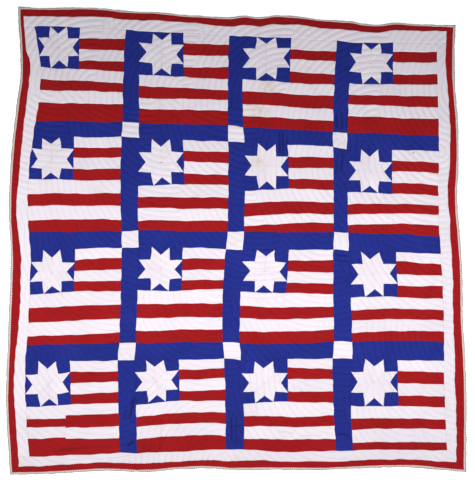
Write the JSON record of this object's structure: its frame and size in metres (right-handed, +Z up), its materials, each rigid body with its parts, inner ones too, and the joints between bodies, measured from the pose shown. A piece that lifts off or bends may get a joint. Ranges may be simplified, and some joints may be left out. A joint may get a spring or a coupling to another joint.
{
  "type": "flag quilt",
  "caption": "Hand-quilted patchwork bed quilt of flag blocks, lying flat and face up, with a narrow folded binding on each side.",
  "frame": {"origin": "on the floor, under the middle of the quilt's bounding box", "axes": "+Z up out of the quilt's face, +Y towards its head edge, +X towards its right edge as seen from above"},
  "size_m": [2.0322, 2.066, 0.0052],
  "materials": {
    "pieced_cotton": "matt woven cotton, pieced in red, white and blue and quilted by hand",
    "binding_print": "matt woven cotton with a small cream and brown print"
  },
  "bodies": {
    "root": {"quilt_body": "pieced_cotton", "binding_head": "binding_print", "binding_right": "binding_print", "binding_foot": "binding_print", "binding_left": "binding_print"}
  },
  "joints": []
}
